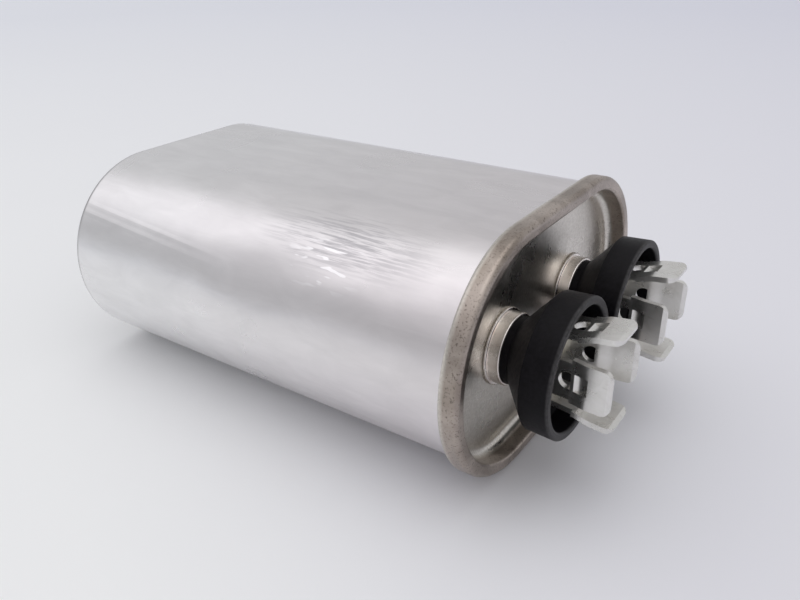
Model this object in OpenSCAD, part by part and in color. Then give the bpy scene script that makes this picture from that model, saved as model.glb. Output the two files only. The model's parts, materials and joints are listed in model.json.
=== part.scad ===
/* [Can] */
// Width across the oval, the long way
can_width = 54.4; // [48:0.1:70]
// Depth across the oval, between the two flat sides
can_depth = 33.3; // [31:0.1:40]
// Length from the closed end to the top of the seam
can_length = 76.7; // [60:0.1:120]
// Thickness of the drawn aluminium
can_wall = 0.4; // [0.3:0.05:0.6]
// Outer radius of the edge round the closed end
can_edge_radius = 1.4; // [1:0.1:4]

/* [Seam] */
// Height of the double seam
seam_height = 2.9; // [2.7:0.1:3.6]
// Gap left between the folded layers
layer_gap = 0.03; // [0.01:0.01:0.05]
// Slack between the two hooks
hook_slack = 0.2; // [0:0.05:0.2]
// Outer radius of the seam's shoulder
seam_shoulder_radius = 0.8; // [0.6:0.05:0.9]
// Outer radius of the lip on the recess side
seam_lip_radius = 0.45; // [0.35:0.05:0.6]

/* [Cover] */
// Thickness of the tinned steel sheet
cover_thickness = 0.3; // [0.24:0.02:0.34]
// Depth of the cover's floor below the top of the seam
recess_depth = 3.3; // [3:0.1:5]
// Radius where the recess wall meets the floor
recess_fillet = 1.3; // [0.5:0.1:1.4]

/* [Terminals] */
// Distance between the two terminals
terminal_spacing = 21.6; // [20.8:0.1:23]
// How far the left stud and its tabs sit off their cup's centre, towards the right terminal
left_shift = 0.9; // [0:0.1:0.9]
// Running gap between pieces that seat in each other
seat_gap = 0.05; // [0.02:0.01:0.08]

/* [Ferrules] */
// Outer radius of the barrel
ferrule_radius = 5.2; // [5.1:0.05:5.4]
// Wall of the barrel
ferrule_wall = 0.35; // [0.25:0.05:0.5]
// Outer radius of the foot flange
ferrule_foot_radius = 5.55; // [5.5:0.05:6]
// Thickness of the foot flange
ferrule_foot = 0.45; // [0.3:0.05:0.7]
// Height of the rolled lip above the cover's floor
ferrule_height = 2.2; // [2:0.05:2.8]
// Radius of the rolled lip
ferrule_lip_radius = 0.28; // [0.2:0.02:0.34]
// Thickness of the flare clenched under the cover
ferrule_clench = 0.35; // [0.25:0.05:0.5]

/* [Insulators] */
// Height of the neck above the cover's floor, where the cone starts
neck_height = 3.1; // [2.9:0.1:4]
// How far the neck reaches below the cover's sheet
neck_tail = 1.0; // [0.7:0.1:1.5]
// Height of the cup's rim above the cover's floor
cup_height = 11.3; // [10.5:0.1:14]
// Height of the band round the cup's mouth
band_height = 4.1; // [3:0.1:4.5]
// Outer radius of the band at the rim
band_radius = 9.8; // [9:0.1:10]
// How much narrower the band is where the cone ends
band_draft = 0.2; // [0:0.05:0.4]
// Bore radius of the cup's mouth
cup_bore = 8.6; // [8.3:0.1:8.8]
// Depth of the straight part of the mouth
cup_bore_depth = 3.4; // [2.5:0.1:4]
// Height of the cup's inner floor above the cover's floor
cup_floor_height = 5.1; // [4.6:0.1:5.6]
// Radius of the cup's inner floor
cup_floor_radius = 6.3; // [6.1:0.1:6.5]
// Radius of the rounded edges of the rim
rim_radius = 0.35; // [0.2:0.05:0.45]

/* [Tabs] */
// Width of a quick-connect blade
tab_width = 6.35; // [6:0.05:6.8]
// Thickness of the strip
tab_thickness = 0.8; // [0.6:0.05:0.85]
// Inner radius of the bends
tab_bend = 0.2; // [0.1:0.05:0.2]
// Width of the neck under each blade
tab_neck = 5.4; // [4:0.1:5.6]
// Diameter of the hole in the neck
tab_hole = 2.4; // [1.6:0.1:2.6]
// Height of the outer blades' tips above the seam
outer_reach = 13.7; // [12.5:0.1:16]
// Height of the inner blades' tips above the seam
inner_reach = 13.7; // [12.5:0.1:16]
// Height of the hole above the seam
hole_reach = 7.7; // [7.2:0.1:8]
// Height above the seam where the neck widens into the blade
shoulder_reach = 8.2; // [8.1:0.1:8.6]
// Height above the seam where the outward step starts
joggle_reach = 8.4; // [8.2:0.1:9]
// Length of the outward step along the blade
joggle_length = 2.2; // [1.4:0.1:2.4]
// Outward step between neck and blade
tab_joggle = 0.3; // [0.1:0.05:0.5]
// Half span of the outer bracket over its bends
outer_span = 5.3; // [5.1:0.05:5.5]
// Half span of the inner bracket over its bends
inner_span = 3.9; // [3.85:0.05:4.1]
// Lean of the outer blades away from the axis, in degrees
outer_splay = 7; // [3:0.1:8]
// Lean of the inner blades away from the axis, in degrees
inner_splay = 5; // [3:0.1:7]
// Corner radius of the blade's tip
tab_corner = 1.3; // [0.6:0.1:2]
// Bevel on the blade's tip
tab_bevel = 0.2; // [0.1:0.05:0.25]
// Height of the pressed detent's middle above the seam
detent_reach = 9.5; // [9.3:0.1:9.8]
// Length of the pressed detent along the blade
detent_length = 2; // [1.4:0.1:2]
// Width of the pressed detent
detent_width = 2.5; // [1.8:0.1:3]
// Depth of the pressed detent
detent_depth = 0.4; // [0.2:0.05:0.5]

/* [Studs] */
// Radius of the stud's shank
stud_radius = 1.5; // [1.2:0.1:1.7]
// Radius of the riveted head in the cup
stud_head_radius = 2.8; // [2.4:0.1:2.8]
// Height of the riveted head
stud_head_height = 1; // [0.7:0.1:1.3]
// Radius of the clenched tip inside the can
stud_tip_radius = 2.3; // [2:0.1:2.6]
// Thickness of the clenched tip
stud_tip_height = 0.8; // [0.5:0.1:1]

/* [Inside] */
// Thickness of the bushing under the cover
bushing_thickness = 1.2; // [0.8:0.1:2]
// Radius of the bushing under the cover
bushing_radius = 7; // [6:0.1:8]
// Thickness of the interrupter plate
plate_thickness = 1.2; // [0.8:0.1:2]
// Margin of the interrupter plate round the bushings
plate_margin = 1; // [0.5:0.1:2]
// Thickness of the tinned copper leads
lead_thickness = 0.4; // [0.3:0.05:0.6]
// Width of the tinned copper leads
lead_width = 2.2; // [1.8:0.1:2.4]
// Space between the winding's top contact and the cover
head_space = 10.4; // [9:0.1:14]
// Wall of the spacer that holds the winding down
spacer_wall = 1.2; // [0.8:0.1:2]
// Thickness of the bottom insulator
bottom_insulator_thickness = 1.6; // [1.2:0.1:2.4]
// Thickness of the insulating wrap
wrap_thickness = 0.5; // [0.3:0.1:0.8]
// Oil gap between the wrap and the can
oil_gap = 0.3; // [0.2:0.1:0.6]
// Thickness of the sprayed metal on each end of the winding
contact_thickness = 0.4; // [0.3:0.1:0.8]
// Bare film margin round the sprayed metal
contact_margin = 0.6; // [0.4:0.1:1.5]
// Half depth of the flat core that the film is wound on
core_radius = 2.2; // [2:0.1:3]
// Width of the flat core
core_width = 24; // [16:0.5:26]
// Wall of the flat core
core_wall = 0.8; // [0.5:0.1:0.9]

/* [Hidden] */
$fn = 72;
// Overlap of cutting shapes past the faces that they cut
cut = 1;

// The oval: two half circles of end_r whose centres lie flat_half either side of the axis
end_r = can_depth / 2;
flat_half = (can_width - can_depth) / 2;

// The double seam, from the body wall outwards: cover hook, body hook, seaming wall
hook_gap = cover_thickness + 2 * layer_gap + hook_slack;
flange_r = hook_gap / 2 + can_wall;
flange_z = can_length - cover_thickness - layer_gap - flange_r;
curl_r = (hook_gap + can_wall + cover_thickness) / 2;
curl_z = can_length - seam_height + curl_r;
curl_x = end_r + layer_gap + curl_r;
seam_r = curl_x + curl_r;
chuck_r = end_r - can_wall - layer_gap;
lip_r = chuck_r - cover_thickness;

// Heights along the axis, counted from the closed end
floor_z = can_length - recess_depth;
under_cover_z = floor_z - cover_thickness;
cup_floor_z = floor_z + cup_floor_height;
rim_z = floor_z + cup_height;
inner_base_z = cup_floor_z + tab_thickness;
stud_head_z = inner_base_z + tab_thickness;
neck_bottom_z = under_cover_z - neck_tail;
bushing_z = neck_bottom_z - bushing_thickness;
plate_z = bushing_z - plate_thickness;
lead_z = plate_z - lead_thickness;
winding_top_z = under_cover_z - head_space;
tray_top_z = can_wall + bottom_insulator_thickness;
winding_bottom_z = tray_top_z + contact_thickness;
overall_length = can_length + max(outer_reach, inner_reach);

neck_r = ferrule_radius - ferrule_wall - seat_gap;
bend_r = tab_thickness + tab_bend;
wrap_r = end_r - can_wall - oil_gap;
winding_r = wrap_r - wrap_thickness - seat_gap;
spacer_r = lip_r - recess_fillet;
core_half = core_width / 2 - core_radius;
lead_foot_y = core_width / 2 + 2 * lead_width;
lead_drop_y = stud_y(1) + stud_tip_radius + seat_gap + lead_thickness;

// Lays the axis along +X, the flat sides level, with the seam's lowest line on the ground
module lay_down()
    translate([-overall_length / 2, 0, seam_r]) rotate([0, 90, 0]) children();

// Puts a terminal's piece on its own axis: side is -1 on the left and 1 on the right
module at_terminal(side, z = 0) translate([0, side * terminal_spacing / 2, z]) children();

// Puts a piece on its stud's axis
function stud_y(side) = side * terminal_spacing / 2 + (side < 0 ? left_shift : 0);
module at_stud(side, z = 0) translate([0, stud_y(side), z]) children();

// Sweeps a half section round the oval
module oval_sweep() {
    for (turn = [0, 180]) rotate(turn) {
        translate([0, flat_half, 0]) rotate_extrude(angle = 180) children();
        rotate([90, 0, 0]) linear_extrude(2 * flat_half, center = true) children();
    }
}

// Oval outline of half depth r, between arc centres at half_span
module oval(r, half_span) {
    for (side = [-1, 1]) translate([0, side * half_span]) circle(r);
    square([2 * r, 2 * half_span], center = true);
}

module oval_plate(r, z, thickness, half_span = flat_half)
    translate([0, 0, z]) linear_extrude(thickness) oval(r, half_span);

// Rectangle given by its lower left and upper right corners
module span(from, to) translate(from) square(to - from);

// Part of a ring between two angles no more than 90 degrees apart
module ring_part(inner, outer, from, to) {
    reach = 2 * outer;
    intersection() {
        difference() {
            circle(outer);
            circle(inner);
        }
        polygon([[0, 0], for (a = [from, (from + to) / 2, to]) reach * [cos(a), sin(a)]]);
    }
}

// Half section of the can: closed end, wall, and the flange hooked over for the seam
module can_section() {
    wall_x = end_r - can_wall;
    hook_x = end_r + hook_gap;
    span([0, 0], [end_r - can_edge_radius, can_wall]);
    translate([end_r - can_edge_radius, can_edge_radius])
        ring_part(can_edge_radius - can_wall, can_edge_radius, -90, 0);
    span([wall_x, can_edge_radius], [end_r, flange_z]);
    translate([end_r + hook_gap / 2, flange_z]) for (a = [0, 90])
        ring_part(hook_gap / 2, flange_r, a, a + 90);
    span([hook_x, curl_z + layer_gap], [hook_x + can_wall, flange_z]);
}

// Half section of the cover: floor, recess wall, seam top, seaming wall and cover hook
module cover_section() {
    fillet_x = lip_r - recess_fillet;
    fillet_z = floor_z + recess_fillet;
    lip_z = can_length - seam_lip_radius;
    shoulder_z = can_length - seam_shoulder_radius;
    hook_x = end_r + layer_gap;
    span([0, under_cover_z], [fillet_x, floor_z]);
    translate([fillet_x, fillet_z])
        ring_part(recess_fillet, recess_fillet + cover_thickness, -90, 0);
    span([lip_r, fillet_z], [chuck_r, lip_z]);
    translate([lip_r + seam_lip_radius, lip_z])
        ring_part(seam_lip_radius - cover_thickness, seam_lip_radius, 90, 180);
    span([lip_r + seam_lip_radius, can_length - cover_thickness],
        [seam_r - seam_shoulder_radius, can_length]);
    translate([seam_r - seam_shoulder_radius, shoulder_z])
        ring_part(seam_shoulder_radius - cover_thickness, seam_shoulder_radius, 0, 90);
    span([seam_r - cover_thickness, curl_z], [seam_r, shoulder_z]);
    translate([curl_x, curl_z]) for (a = [180, 270])
        ring_part(curl_r - cover_thickness, curl_r, a, a + 90);
    span([hook_x, curl_z], [hook_x + cover_thickness, flange_z - layer_gap]);
}

module can() color([0.80, 0.80, 0.82]) lay_down() oval_sweep() can_section();

module cover() color([0.62, 0.60, 0.56]) lay_down() difference() {
    oval_sweep() cover_section();
    for (side = [-1, 1]) at_terminal(side, under_cover_z - cut)
        cylinder(r = ferrule_radius, h = cover_thickness + 2 * cut);
}

// Half section of a ferrule: clenched flare, foot, barrel and rolled lip
module ferrule_section() {
    bore = ferrule_radius - ferrule_wall;
    sleeve = ferrule_radius - seat_gap;
    lip_z = ferrule_height - ferrule_lip_radius;
    clench_z = -cover_thickness - ferrule_clench;
    span([bore, clench_z], [sleeve, lip_z]);
    span([bore, clench_z], [ferrule_foot_radius, -cover_thickness]);
    span([bore, 0], [ferrule_foot_radius - ferrule_foot / 2, ferrule_foot]);
    translate([ferrule_foot_radius - ferrule_foot / 2, ferrule_foot / 2]) circle(ferrule_foot / 2);
    intersection() {
        translate([sleeve - ferrule_lip_radius, lip_z]) circle(ferrule_lip_radius);
        span([bore, lip_z - ferrule_lip_radius], [sleeve, ferrule_height]);
    }
}

module ferrule(side) color([0.72, 0.68, 0.62]) lay_down()
    at_terminal(side, floor_z) rotate_extrude() ferrule_section();

// Half section of a moulded insulator: neck, cone, band with a rounded rim, hollow mouth
module insulator_section() {
    bore = stud_radius + seat_gap + left_shift;
    edge_z = rim_z - rim_radius;
    band_z = rim_z - band_height;
    difference() {
        union() {
            polygon([
                [bore, neck_bottom_z], [neck_r, neck_bottom_z], [neck_r, floor_z + neck_height],
                [band_radius - band_draft, band_z], [band_radius, edge_z], [bore, edge_z]
            ]);
            span([bore, edge_z - cut], [band_radius - rim_radius, rim_z]);
            translate([band_radius - rim_radius, edge_z]) circle(rim_radius);
        }
        polygon([
            [0, cup_floor_z], [cup_floor_radius, cup_floor_z], [cup_bore, rim_z - cup_bore_depth],
            [cup_bore, rim_z + cut], [0, rim_z + cut]
        ]);
        difference() {
            span([cup_bore - cut, edge_z], [cup_bore + rim_radius, rim_z + cut]);
            translate([cup_bore + rim_radius, edge_z]) circle(rim_radius);
        }
    }
}

module insulator(side) color([0.10, 0.10, 0.11]) lay_down()
    at_terminal(side) rotate_extrude() insulator_section();

// Points of an arc about the origin, and a point turned by the blade's lean
function arc(r, from, to) =
    [for (i = [0 : 8]) let (a = from + (to - from) * i / 8) r * [cos(a), sin(a)]];
function lean(p, splay) =
    [p[0] * cos(splay) + p[1] * sin(splay), p[1] * cos(splay) - p[0] * sin(splay)];

// How far the blade has stepped outwards at a length past the start of the step
function stepped(t) = tab_joggle * (1 - cos(180 * min(max(t / joggle_length, 0), 1))) / 2;

// Side view of a leg about its bend's centre: base, bend, neck, outward step and bevelled tip
module leg_profile(base, splay, step_from, length) {
    inner = bend_r - tab_thickness;
    step = [for (i = [0 : 10]) i * joggle_length / 10];
    bevel_z = length - 3 * tab_bevel;
    blade = concat(
        [for (t = step) [bend_r + stepped(t), step_from + t]],
        [[bend_r + tab_joggle, bevel_z], [bend_r + tab_joggle - tab_bevel, length]],
        [[inner + tab_joggle + tab_bevel, length], [inner + tab_joggle, bevel_z]],
        [for (i = [10 : -1 : 0]) [inner + stepped(step[i]), step_from + step[i]]]
    );
    polygon(concat(
        [[-base, -bend_r]], arc(bend_r, -90, -splay), [for (p = blade) lean(p, splay)],
        arc(inner, -splay, -90), [[-base, -inner]]
    ));
}

// Face view of a leg: neck with its hole, shoulders, and a tip with rounded corners
module leg_outline(base, hole, shoulder, length) {
    half = tab_width / 2;
    difference() {
        span([-tab_neck / 2, -base - 2 * bend_r], [tab_neck / 2, shoulder + cut]);
        translate([0, hole]) circle(d = tab_hole);
    }
    span([-half, shoulder], [half, length - tab_corner]);
    span([-half + tab_corner, shoulder], [half - tab_corner, length]);
    for (side = [-1, 1]) translate([side * (half - tab_corner), length - tab_corner])
        circle(tab_corner);
}

// Length along a leg, from its bend's centre, to a given height above the seam
function along(reach, base_z, splay) = (can_length + reach - base_z - bend_r) / cos(splay);

// One leg of a bracket on the +X side of the terminal's axis, standing on its base
module leg(half_span, splay, reach, base_z) {
    base = half_span - bend_r;
    length = along(reach, base_z, splay)
        + (bend_r - tab_thickness + tab_joggle + tab_bevel) * tan(splay);
    detent_r = (pow(detent_length / 2, 2) + pow(detent_depth, 2)) / (2 * detent_depth);
    detent_face = bend_r + stepped(detent_reach - joggle_reach);
    translate([base, 0, bend_r]) difference() {
        intersection() {
            rotate([90, 0, 0]) linear_extrude(tab_width + cut, center = true)
                leg_profile(base, splay, along(joggle_reach, base_z, splay), length);
            rotate([0, splay, 0]) translate([-2 * base, 0, 0]) rotate([90, 0, 90])
                linear_extrude(2 * base + bend_r + tab_joggle + cut)
                    leg_outline(base, along(hole_reach, base_z, splay),
                        along(shoulder_reach, base_z, splay), length);
        }
        rotate([0, splay, 0])
            translate([detent_face + detent_r - detent_depth, 0, along(detent_reach, base_z, splay)])
                rotate([90, 0, 0]) cylinder(r = detent_r, h = detent_width, center = true);
    }
}

// A strip bent up into two opposite blades, with a round pad under the stud's head
module bracket(half_span, splay, reach, base_z) translate([0, 0, base_z]) difference() {
    union() {
        for (turn = [0, 180]) rotate(turn) leg(half_span, splay, reach, base_z);
        cylinder(r = stud_head_radius, h = tab_thickness);
    }
    translate([0, 0, -cut]) cylinder(r = stud_radius + seat_gap, h = tab_thickness + 2 * cut);
}

module outer_tabs(side) color([0.80, 0.79, 0.76]) lay_down() at_stud(side)
    bracket(outer_span, outer_splay, outer_reach, cup_floor_z);

module inner_tabs(side) color([0.83, 0.82, 0.79]) lay_down() at_stud(side)
    rotate(90) bracket(inner_span, inner_splay, inner_reach, inner_base_z);

// Brass stud: shank, domed head over the brackets, clenched tip under the lead
module stud(side) color([0.74, 0.70, 0.58]) lay_down() at_stud(side) rotate_extrude() {
    dome_r = (pow(stud_head_radius, 2) + pow(stud_head_height, 2)) / (2 * stud_head_height);
    span([0, lead_z - stud_tip_height], [stud_radius, stud_head_z]);
    span([0, lead_z - stud_tip_height], [stud_tip_radius, lead_z]);
    intersection() {
        translate([0, stud_head_z + stud_head_height - dome_r]) circle(dome_r);
        span([0, stud_head_z], [stud_head_radius, stud_head_z + stud_head_height]);
    }
}

// Stepped washer that draws the insulator down: it bears on the cover round the clenched flare
module bushing(side) color([0.86, 0.84, 0.78]) lay_down() difference() {
    at_terminal(side, bushing_z) difference() {
        cylinder(r = bushing_radius, h = under_cover_z - bushing_z);
        translate([0, 0, bushing_thickness])
            cylinder(r = ferrule_foot_radius + seat_gap, h = under_cover_z - bushing_z);
    }
    stud_hole(side, bushing_z, bushing_thickness);
}

module stud_hole(side, z, thickness)
    at_stud(side, z - cut) cylinder(r = stud_radius + seat_gap, h = thickness + 2 * cut);

// Stiff plate that stays put when a fault bows the cover, so that the leads tear off the studs
module interrupter_plate() color([0.55, 0.33, 0.16]) lay_down() difference() {
    oval_plate(bushing_radius + plate_margin, plate_z, plate_thickness, terminal_spacing / 2);
    for (side = [-1, 1]) stud_hole(side, plate_z, plate_thickness);
}

// Eye of a lead round its stud, with a flat run to the given place across the can
module lead_eye(side, to_y) difference() {
    translate([0, 0, lead_z]) {
        translate([0, stud_y(side), 0]) cylinder(r = stud_tip_radius, h = lead_thickness);
        translate([-lead_width / 2, min(stud_y(side), to_y), 0])
            cube([lead_width, abs(to_y - stud_y(side)), lead_thickness]);
    }
    stud_hole(side, lead_z, lead_thickness);
}

// The left stud's lead runs down through the flat core to the bottom contact
module lead_left() color([0.85, 0.80, 0.72]) lay_down() {
    foot_z = tray_top_z - lead_thickness;
    lead_eye(-1, 0);
    translate([-lead_width / 2, -lead_thickness, foot_z])
        cube([lead_width, lead_thickness, lead_z + lead_thickness - foot_z]);
    translate([-lead_width / 2, -lead_foot_y, foot_z])
        cube([lead_width, lead_foot_y, lead_thickness]);
}

// The right stud's lead drops straight to the top contact
module lead_right() color([0.85, 0.80, 0.72]) lay_down() {
    lead_eye(1, lead_drop_y);
    translate([-lead_width / 2, lead_drop_y - lead_thickness, winding_top_z])
        cube([lead_width, lead_thickness, lead_z + lead_thickness - winding_top_z]);
    translate([-lead_width / 2, lead_drop_y - lead_thickness, winding_top_z])
        cube([lead_width, lead_width, lead_thickness]);
}

module top_spacer() color([0.88, 0.87, 0.82]) lay_down() difference() {
    oval_plate(spacer_r, winding_top_z, head_space);
    oval_plate(spacer_r - spacer_wall, winding_top_z - cut, head_space + 2 * cut);
}

// Sprayed zinc over one end of the winding, open over the core
module contact(z) difference() {
    oval_plate(winding_r - contact_margin, z, contact_thickness);
    oval_plate(core_radius + seat_gap, z - cut, contact_thickness + 2 * cut, core_half);
}

module contact_top() color([0.66, 0.67, 0.68]) lay_down()
    contact(winding_top_z - contact_thickness);

module contact_bottom() color([0.66, 0.67, 0.68]) lay_down() contact(tray_top_z);

// Metallised film, pressed oval; its turns are one solid
module winding() color([0.78, 0.76, 0.70]) lay_down() {
    height = winding_top_z - contact_thickness - winding_bottom_z;
    difference() {
        oval_plate(winding_r, winding_bottom_z, height);
        oval_plate(core_radius + seat_gap, winding_bottom_z - cut, height + 2 * cut, core_half);
    }
}

module core() color([0.90, 0.89, 0.84]) lay_down() {
    height = winding_top_z - tray_top_z;
    difference() {
        oval_plate(core_radius, tray_top_z, height, core_half);
        oval_plate(core_radius - core_wall, tray_top_z - cut, height + 2 * cut, core_half);
    }
}

module wrap() color([0.93, 0.92, 0.86]) lay_down() difference() {
    oval_plate(wrap_r, tray_top_z, winding_top_z - tray_top_z);
    oval_plate(wrap_r - wrap_thickness, tray_top_z - cut, winding_top_z - tray_top_z + 2 * cut);
}

// Tray on the closed end, with a channel for the foot of the left lead
module bottom_insulator() color([0.88, 0.87, 0.82]) lay_down() difference() {
    oval_plate(end_r - max(can_edge_radius, can_wall + oil_gap), can_wall,
        bottom_insulator_thickness);
    translate([-lead_width / 2 - seat_gap, -lead_foot_y - seat_gap, tray_top_z - lead_thickness])
        cube([lead_width + 2 * seat_gap, lead_foot_y + 2 * seat_gap, lead_thickness + cut]);
}

can();
cover();
ferrule(-1);  // ferrule_left
ferrule(1);  // ferrule_right
insulator(-1);  // insulator_left
insulator(1);  // insulator_right
outer_tabs(-1);  // outer_tabs_left
outer_tabs(1);  // outer_tabs_right
inner_tabs(-1);  // inner_tabs_left
inner_tabs(1);  // inner_tabs_right
stud(-1);  // stud_left
stud(1);  // stud_right
bushing(-1);  // bushing_left
bushing(1);  // bushing_right
interrupter_plate();
lead_left();
lead_right();
top_spacer();
contact_top();
winding();
core();
contact_bottom();
wrap();
bottom_insulator();
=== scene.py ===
"""Motor run capacitor: looks, floor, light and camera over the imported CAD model."""

import json
import math

import bpy
from mathutils import Matrix, Vector


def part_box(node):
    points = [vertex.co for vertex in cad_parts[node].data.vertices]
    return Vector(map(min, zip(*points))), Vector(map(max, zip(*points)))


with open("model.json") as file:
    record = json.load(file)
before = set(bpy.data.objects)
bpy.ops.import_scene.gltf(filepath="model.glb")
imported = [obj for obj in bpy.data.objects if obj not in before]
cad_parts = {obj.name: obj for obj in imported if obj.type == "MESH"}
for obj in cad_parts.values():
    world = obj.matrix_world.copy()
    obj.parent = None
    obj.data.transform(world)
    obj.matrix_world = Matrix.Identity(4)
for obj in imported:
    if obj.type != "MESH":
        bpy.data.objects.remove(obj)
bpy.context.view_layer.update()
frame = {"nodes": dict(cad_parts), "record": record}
MM = 0.001

# Places that the materials, floor and camera are keyed to, read from the CAD nodes
COVER_LOW, COVER_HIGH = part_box("cover")
CLOSED_END_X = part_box("can")[0][0]
CUP_FACE_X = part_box("insulator_left")[1][0]
SEAM_X = COVER_HIGH[0]
AXIS_Z = (COVER_LOW[2] + COVER_HIGH[2]) / 2


class Graph:
    """Node tree of a material or the world, with short calls for the nodes used here."""

    def __init__(self, name, world=None, **shader):
        self.material = world or bpy.data.materials.new(name)
        self.material.use_nodes = True
        self.tree = self.material.node_tree
        self.shader = self.tree.nodes["Background" if world else "Principled BSDF"]
        source = "Generated" if world else "Object"
        self.place = self.node("ShaderNodeTexCoord").outputs[source]
        for socket, value in shader.items():
            self.set(self.shader.inputs[socket.replace("_", " ")], value)

    def set(self, socket, value):
        if isinstance(value, bpy.types.NodeSocket):
            self.tree.links.new(value, socket)
        elif isinstance(value, (tuple, list)) and len(value) == 3 and socket.type == "RGBA":
            socket.default_value = (*value, 1.0)
        else:
            socket.default_value = value

    def node(self, kind, options=None, **inputs):
        made = self.tree.nodes.new(kind)
        for key, value in (options or {}).items():
            setattr(made, key, value)
        for key, value in inputs.items():
            self.set(made.inputs[key.replace("_", " ")], value)
        return made

    def math(self, operation, *values):
        made = self.node("ShaderNodeMath", {"operation": operation})
        for socket, value in zip(made.inputs, values):
            self.set(socket, value)
        return made.outputs[0]

    def mix(self, factor, a, b, blend="MIX"):
        made = self.node("ShaderNodeMix", {"data_type": "RGBA", "blend_type": blend})
        for socket, value in zip((made.inputs[0], made.inputs[6], made.inputs[7]), (factor, a, b)):
            self.set(socket, value)
        return made.outputs[2]

    def level(self, factor, a, b):
        """Plain number between a and b."""
        made = self.node("ShaderNodeMix", {"data_type": "FLOAT"})
        for socket, value in zip((made.inputs[0], made.inputs[2], made.inputs[3]), (factor, a, b)):
            self.set(socket, value)
        return made.outputs[0]

    def ramp(self, value, low, high, start=0.0, end=1.0, kind="LINEAR"):
        """From start at low to end at high, held flat outside."""
        made = self.node("ShaderNodeMapRange", {"clamp": True, "interpolation_type": kind})
        for socket, number in zip(made.inputs, (value, low, high, start, end)):
            self.set(socket, number)
        return made.outputs[0]

    def vector(self, operation, a, b=None, output="Vector"):
        made = self.node("ShaderNodeVectorMath", {"operation": operation})
        self.set(made.inputs[0], a)
        if b is not None:
            self.set(made.inputs[1], b)
        return made.outputs[output]

    def stretched(self, scale, offset=(0, 0, 0)):
        made = self.node("ShaderNodeMapping", Scale=scale, Location=offset)
        self.set(made.inputs["Vector"], self.place)
        return made.outputs[0]

    def noise(self, scale, detail=3.0, rough=0.5, stretch=None, offset=(0, 0, 0), warp=0.0):
        where = self.stretched(stretch or (1, 1, 1), offset)
        made = self.node("ShaderNodeTexNoise", Scale=scale, Detail=detail, Roughness=rough,
                         Distortion=warp)
        self.set(made.inputs["Vector"], where)
        return made.outputs["Fac"]

    def near(self, centre, radii, edge):
        """1 at a point, falling from a share of the ellipsoid's radii to 0 at its surface."""
        scaled = self.vector("DIVIDE", self.vector("SUBTRACT", self.place, centre), radii)
        reach = self.vector("LENGTH", scaled, output="Value")
        return self.ramp(reach, edge, 1.0, 1.0, 0.0, "SMOOTHSTEP")

    def split(self):
        made = self.node("ShaderNodeSeparateXYZ")
        self.set(made.inputs[0], self.place)
        return made.outputs

    def lobe(self, azimuth, elevation, inner, outer):
        """1 within the inner angle of a direction, falling to 0 at the outer angle."""
        azimuth, elevation, inner, outer = map(math.radians, (azimuth, elevation, inner, outer))
        towards = (math.cos(elevation) * math.cos(azimuth),
                   math.cos(elevation) * math.sin(azimuth), math.sin(elevation))
        facing = self.vector("DOT_PRODUCT", self.place, towards, "Value")
        return self.ramp(facing, math.cos(outer), math.cos(inner), kind="SMOOTHSTEP")

    def bands(self, value, stops):
        """Colour along a value, from (place, colour) stops."""
        made = self.node("ShaderNodeValToRGB", Fac=value)
        elements = made.color_ramp.elements
        while len(elements) < len(stops):
            elements.new(0.5)
        for element, (where, colour) in zip(elements, stops):
            element.position = where
            element.color = (*colour, 1.0)
        return made.outputs[0]

    def line(self, value, centre, half_width):
        """1 on a centre value, falling straight to 0 at half_width either side."""
        away = self.math("ABSOLUTE", self.math("SUBTRACT", value, centre))
        return self.ramp(away, 0.0, half_width, 1.0, 0.0)

    def bump(self, height, distance, strength=1.0, under=None):
        made = self.node("ShaderNodeBump", Strength=strength, Distance=distance, Height=height)
        if under is not None:
            self.set(made.inputs["Normal"], under)
        return made.outputs[0]

    def finish(self, colour, roughness, normal):
        for name, value in (("Base Color", colour), ("Roughness", roughness), ("Normal", normal)):
            self.set(self.shader.inputs[name], value)
        return self.material


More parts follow.
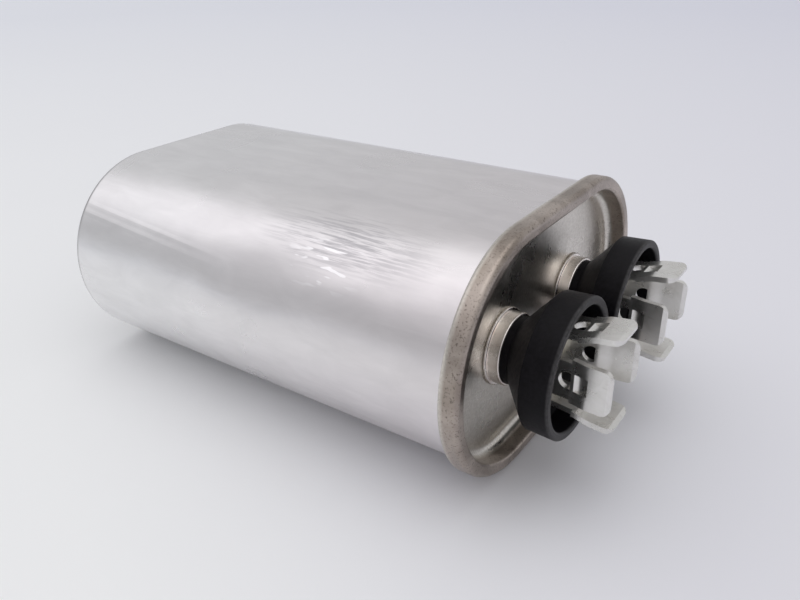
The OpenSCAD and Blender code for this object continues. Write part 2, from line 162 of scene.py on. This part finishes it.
def can_material():
    g = Graph("can_satin_aluminium", Metallic=1.0)
    x, y, z = g.split()
    # Drawing marks run along the can over a cloudy satin skin
    streaks = g.noise(1.0, 4.0, 0.65, (45, 700, 700))
    fine = g.noise(1.0, 3.0, 0.7, (350, 2600, 2600))
    blotches = g.noise(55.0, 4.0, 0.6, warp=0.8)
    mottle = g.noise(1.0, 3.0, 0.6, (110, 260, 260), (2, 7, 4), 0.5)
    tone = g.mix(g.ramp(mottle, 0.3, 0.7), (0.80, 0.795, 0.80), (0.88, 0.875, 0.88))
    tone = g.mix(g.math("MULTIPLY", g.ramp(streaks, 0.55, 0.75), 0.18), tone, (0.66, 0.65, 0.66))
    # Scuffed patch on the upper shoulder, with bright scratches below it
    patch = g.near((9 * MM, -19.5 * MM, 32 * MM), (19 * MM, 7 * MM, 6 * MM), 0.1)
    scratch = g.ramp(g.noise(1.0, 3.0, 0.6, (170, 2800, 2800), (3, 1, 7)), 0.44, 0.60)
    scuff = g.math("MULTIPLY", patch, scratch)
    tone = g.mix(g.math("MULTIPLY", scuff, 0.7), tone, (0.40, 0.40, 0.42))
    nicks = g.ramp(g.noise(1.0, 1.0, 0.4, (330, 1900, 900), (8, 2, 5)), 0.62, 0.68)
    nicked = g.near((7 * MM, -22.5 * MM, 29.5 * MM), (9 * MM, 6 * MM, 4.5 * MM), 0.3)
    nicks = g.math("MULTIPLY", nicks, nicked)
    # Painted shade: the drawn edge of the closed end is darkened to a dark outline
    edge = g.ramp(x, CLOSED_END_X + 0.9 * MM, CLOSED_END_X + 1.5 * MM, 1.0, 0.0)
    tone = g.mix(g.math("MULTIPLY", edge, 0.75), tone, (0.20, 0.20, 0.20))
    # Warmer and darker towards the seam
    warm = g.mix(1.0, tone, (0.90, 0.865, 0.87), "MULTIPLY")
    tone = g.mix(g.ramp(x, -30 * MM, 31 * MM), tone, warm)
    tone = g.mix(nicks, tone, (0.98, 0.97, 0.98))
    rough = g.ramp(blotches, 0.3, 0.7, 0.25, 0.34)
    rough = g.math("ADD", rough, g.math("MULTIPLY", scuff, 0.12))
    # Slack of the thin wall, with one shallow dent and a double crease on the near side
    slack = g.noise(1.0, 2.0, 0.5, (30, 60, 60), warp=0.6)
    dent = g.near((-4 * MM, -24.5 * MM, 26.5 * MM), (13 * MM, 9 * MM, 8 * MM), 0.0)
    near_side = g.ramp(y, -22 * MM, -18 * MM, 1.0, 0.0)
    drop = g.math("ADD", z, g.math("MULTIPLY", x, 0.058))
    crease = g.math("ADD", g.line(drop, 26.3 * MM, 0.5 * MM), g.line(drop, 25.1 * MM, 0.5 * MM))
    crease = g.math("MULTIPLY", crease, g.ramp(x, -22 * MM, -8 * MM, 1.0, 0.0))
    crease = g.math("MULTIPLY", crease, near_side)
    surface = g.bump(slack, 0.9 * MM, 0.35)
    surface = g.bump(g.math("MULTIPLY", dent, -1.0), 0.7 * MM, 0.65, surface)
    surface = g.bump(crease, 0.05 * MM, 0.45, surface)
    surface = g.bump(scuff, 0.012 * MM, 0.5, surface)
    surface = g.bump(streaks, 0.015 * MM, 0.3, surface)
    surface = g.bump(fine, 0.006 * MM, 0.5, surface)
    return g.finish(tone, rough, surface)


def cover_material():
    g = Graph("cover_tinned_steel", Metallic=1.0)
    x = g.split()["X"]
    # The rolled rim is worn warm grey; the recess keeps its tin
    rim = g.ramp(x, SEAM_X - 2.6 * MM, SEAM_X - 1.9 * MM)
    grain = g.noise(2600.0, 3.0, 0.6)
    cloud = g.noise(160.0, 3.0, 0.6, warp=0.5)
    pits = g.ramp(g.noise(3400.0, 2.0, 0.5, offset=(2, 4, 6)), 0.55, 0.72)
    pits = g.math("MULTIPLY", pits, rim)
    worn = g.mix(g.ramp(cloud, 0.35, 0.65), (0.30, 0.255, 0.22), (0.50, 0.44, 0.395))
    worn = g.mix(g.math("MULTIPLY", pits, 0.75), worn, (0.13, 0.11, 0.095))
    tin = g.mix(g.ramp(grain, 0.35, 0.7), (0.60, 0.57, 0.515), (0.74, 0.71, 0.655))
    speckle = g.ramp(g.noise(2300.0, 2.0, 0.6, offset=(9, 1, 3)), 0.58, 0.70)
    tin = g.mix(g.math("MULTIPLY", speckle, 0.35), tin, (0.90, 0.88, 0.84))
    rough = g.level(rim, g.ramp(cloud, 0.3, 0.7, 0.24, 0.34), g.ramp(cloud, 0.3, 0.7, 0.28, 0.42))
    surface = g.bump(g.noise(4500.0, 2.0, 0.5, offset=(1, 1, 8)), 0.004 * MM, 0.4)
    surface = g.bump(g.math("MULTIPLY", pits, -1.0), 0.03 * MM, 0.5, surface)
    return g.finish(g.mix(rim, tin, worn), rough, surface)


def ferrule_material():
    g = Graph("ferrule_nickel", Metallic=1.0)
    cloud = g.noise(500.0, 3.0, 0.6, warp=0.4)
    tone = g.mix(g.ramp(cloud, 0.35, 0.65), (0.78, 0.71, 0.66), (0.92, 0.87, 0.83))
    turned = g.noise(1.0, 2.0, 0.5, (3000, 300, 300))
    return g.finish(tone, g.ramp(cloud, 0.3, 0.7, 0.16, 0.30), g.bump(turned, 0.01 * MM, 0.4))


def insulator_material():
    g = Graph("insulator_moulded_black", IOR=1.5, Specular_IOR_Level=0.12)
    x = g.split()["X"]
    grain = g.noise(1800.0, 3.0, 0.6)
    # Moulding skin is worn dull and greyer on the rim's face
    face = g.ramp(x, CUP_FACE_X - 0.45 * MM, CUP_FACE_X - 0.15 * MM)
    body = g.mix(g.ramp(grain, 0.35, 0.7), (0.003, 0.0026, 0.0034), (0.008, 0.007, 0.009))
    dull = g.mix(g.ramp(grain, 0.3, 0.7), (0.030, 0.029, 0.030), (0.065, 0.063, 0.065))
    turned = g.noise(1.0, 3.0, 0.6, (900, 120, 120))
    surface = g.bump(grain, 0.02 * MM, 0.3, g.bump(turned, 0.05 * MM, 0.3))
    return g.finish(g.mix(face, body, dull), g.ramp(grain, 0.3, 0.7, 0.38, 0.52), surface)


def tab_material():
    g = Graph("tab_tinned_brass", Metallic=0.93)
    cloud = g.noise(420.0, 3.0, 0.6, warp=0.5)
    fine = g.noise(2600.0, 3.0, 0.6)
    tone = g.mix(g.ramp(cloud, 0.35, 0.65), (0.70, 0.69, 0.66), (0.79, 0.78, 0.755))
    mark = g.ramp(g.noise(900.0, 2.0, 0.5, (0.35, 1, 1), (4, 4, 2)), 0.66, 0.76)
    tone = g.mix(g.math("MULTIPLY", mark, 0.35), tone, (0.40, 0.37, 0.33))
    return g.finish(tone, g.ramp(cloud, 0.3, 0.7, 0.26, 0.31), g.bump(fine, 0.003 * MM, 0.3))


def stud_material():
    g = Graph("stud_brass_tinned", Metallic=1.0)
    cloud = g.noise(700.0, 3.0, 0.6)
    tone = g.mix(g.ramp(cloud, 0.3, 0.7), (0.62, 0.57, 0.46), (0.80, 0.77, 0.68))
    return g.finish(tone, g.ramp(cloud, 0.3, 0.7, 0.25, 0.4), g.bump(cloud, 0.02 * MM, 0.4))


def inner_material(name, dark, light, metallic, rough, scale, depth):
    """Plain procedural finish for a piece that the closed can hides."""
    g = Graph(name, Metallic=metallic)
    grain = g.noise(scale, 3.0, 0.6)
    tone = g.mix(g.ramp(grain, 0.3, 0.7), dark, light)
    spread = g.ramp(grain, 0.3, 0.7, rough - 0.08, rough + 0.08)
    return g.finish(tone, spread, g.bump(grain, depth * MM, 0.5))


FINISHES = {
    "can": can_material(),
    "cover": cover_material(),
    "ferrule": ferrule_material(),
    "insulator": insulator_material(),
    "tab": tab_material(),
    "stud": stud_material(),
    "fibre": inner_material("inner_fibre", (0.62, 0.58, 0.48), (0.78, 0.75, 0.66), 0.0, 0.7,
                            1200.0, 0.04),
    "laminate": inner_material("inner_laminate", (0.16, 0.07, 0.03), (0.24, 0.11, 0.05), 0.0,
                               0.4, 900.0, 0.02),
    "lead": inner_material("inner_tinned_copper", (0.68, 0.60, 0.52), (0.80, 0.74, 0.68), 1.0,
                           0.3, 1500.0, 0.01),
    "zinc": inner_material("inner_sprayed_zinc", (0.40, 0.41, 0.42), (0.56, 0.57, 0.58), 1.0,
                           0.6, 2500.0, 0.05),
    "film": inner_material("inner_film", (0.55, 0.55, 0.54), (0.70, 0.70, 0.69), 0.6, 0.25,
                           900.0, 0.01),
}

SLOTS = {entry["node"]: entry["material_slot"] for entry in frame["record"]["subparts"]}
for name, piece in frame["nodes"].items():
    piece.data.materials.clear()
    piece.data.materials.append(FINISHES[SLOTS[name]])


def floor_material():
    """Pale sheet with a painted falloff of light: its tone falls off to the right and into the
    distance from its near corner.
    """
    g = Graph("floor_pale", Roughness=0.55)
    # Painted light: the floor is brighter near this corner and to the left, and darker to the
    # right and far off, like a pool of light falling away
    offset = g.vector("SUBTRACT", g.place, (SEAM_X + 37 * MM, -91 * MM, 0.0))
    away = g.vector("LENGTH", offset, output="Value")
    across = g.vector("DOT_PRODUCT", offset, (0.814, 0.581, 0.0), "Value")
    turn = g.math("DIVIDE", across, away)
    pale = g.mix(g.ramp(turn, -0.5, 0.5), (0.905, 0.915, 0.915), (0.775, 0.775, 0.82))
    painted_distance_falloff = g.mix(g.ramp(away, 0.12, 0.65), (1.0, 1.0, 1.0), (0.86, 0.875, 0.93))
    pale = g.mix(1.0, pale, painted_distance_falloff, "MULTIPLY")
    cloud = g.ramp(g.noise(9.0, 3.0, 0.6), 0.3, 0.7, 0.0, 0.04)
    g.set(g.shader.inputs["Base Color"], g.mix(cloud, pale, (0.7, 0.7, 0.72)))
    return g.material


# The can leans on its seam and the edge of its closed end, so the floor is tilted under both
FLOOR_HALF = 4.0
seam_rest_x = SEAM_X - 2.0 * MM
end_rest_x = CLOSED_END_X + 1.6 * MM
can_under_z = 1.3 * MM
tilt = can_under_z / (seam_rest_x - end_rest_x)
bpy.ops.mesh.primitive_plane_add(size=1.0)
ground = bpy.context.object
ground.name = "floor"
corners = [(u * FLOOR_HALF, v * FLOOR_HALF) for u, v in ((-1, -1), (1, -1), (-1, 1), (1, 1))]
ground.data.vertices.foreach_set(
    "co", [c for x, y in corners for c in (x, y, -(x - seam_rest_x) * tilt)])
ground.data.update()
ground.data.materials.append(floor_material())


def studio():
    """A pale room: dim behind, brighter in front, with a window to the left and light overhead."""
    world = bpy.data.worlds.new("studio")
    g = Graph("studio", world)
    axes = g.split()
    front = g.bands(axes["Z"], [(0.0, (0.50, 0.50, 0.51)), (0.12, (0.47, 0.47, 0.48)),
                                (0.32, (0.46, 0.46, 0.475)), (0.48, (0.60, 0.59, 0.61)),
                                (0.62, (0.70, 0.69, 0.71)), (0.84, (0.92, 0.91, 0.93)),
                                (1.0, (1.0, 1.0, 1.0))])
    back = g.bands(axes["Z"], [(0.0, (0.50, 0.50, 0.51)), (0.34, (0.57, 0.57, 0.585)),
                               (0.52, (0.57, 0.57, 0.58)), (0.74, (0.56, 0.56, 0.57)),
                               (0.88, (0.85, 0.85, 0.86)), (1.0, (1.0, 1.0, 1.0))])
    tone = g.mix(g.ramp(axes["Y"], -0.15, 0.25), front, back)
    tone = g.mix(g.lobe(-156, 45, 5, 26), tone, (1.04, 1.02, 1.05))
    tone = g.mix(g.lobe(0, 90, 6, 34), tone, (1.5, 1.5, 1.52))
    g.set(g.shader.inputs["Color"], tone)
    g.set(g.shader.inputs["Strength"], 1.08)
    return world


bpy.context.scene.world = studio()

# Camera: place, heading, pitch and roll
LENS, SENSOR = 33.81345, 36.0
heading, pitch, roll = 2.1909, 0.4717, -0.0239
ahead = Vector((math.cos(pitch) * math.cos(heading), math.cos(pitch) * math.sin(heading),
                -math.sin(pitch)))
level = Vector((math.sin(heading), -math.cos(heading), 0.0))
above = level.cross(ahead)
right = math.cos(roll) * level + math.sin(roll) * above
up = math.cos(roll) * above - math.sin(roll) * level
camera_data = bpy.data.cameras.new("camera")
camera = bpy.data.objects.new("camera", camera_data)
bpy.context.collection.objects.link(camera)
camera_data.sensor_width = SENSOR
camera_data.lens = LENS
camera_data.clip_start, camera_data.clip_end = 0.005, 50.0
place = Vector((SEAM_X + 36.93 * MM, -90.97 * MM, AXIS_Z + 52.55 * MM))
camera.matrix_world = Matrix.Translation(place) @ Matrix(
    (right, up, -ahead)).transposed().to_4x4()
bpy.context.scene.camera = camera

bpy.context.scene.view_settings.view_transform = "Standard"
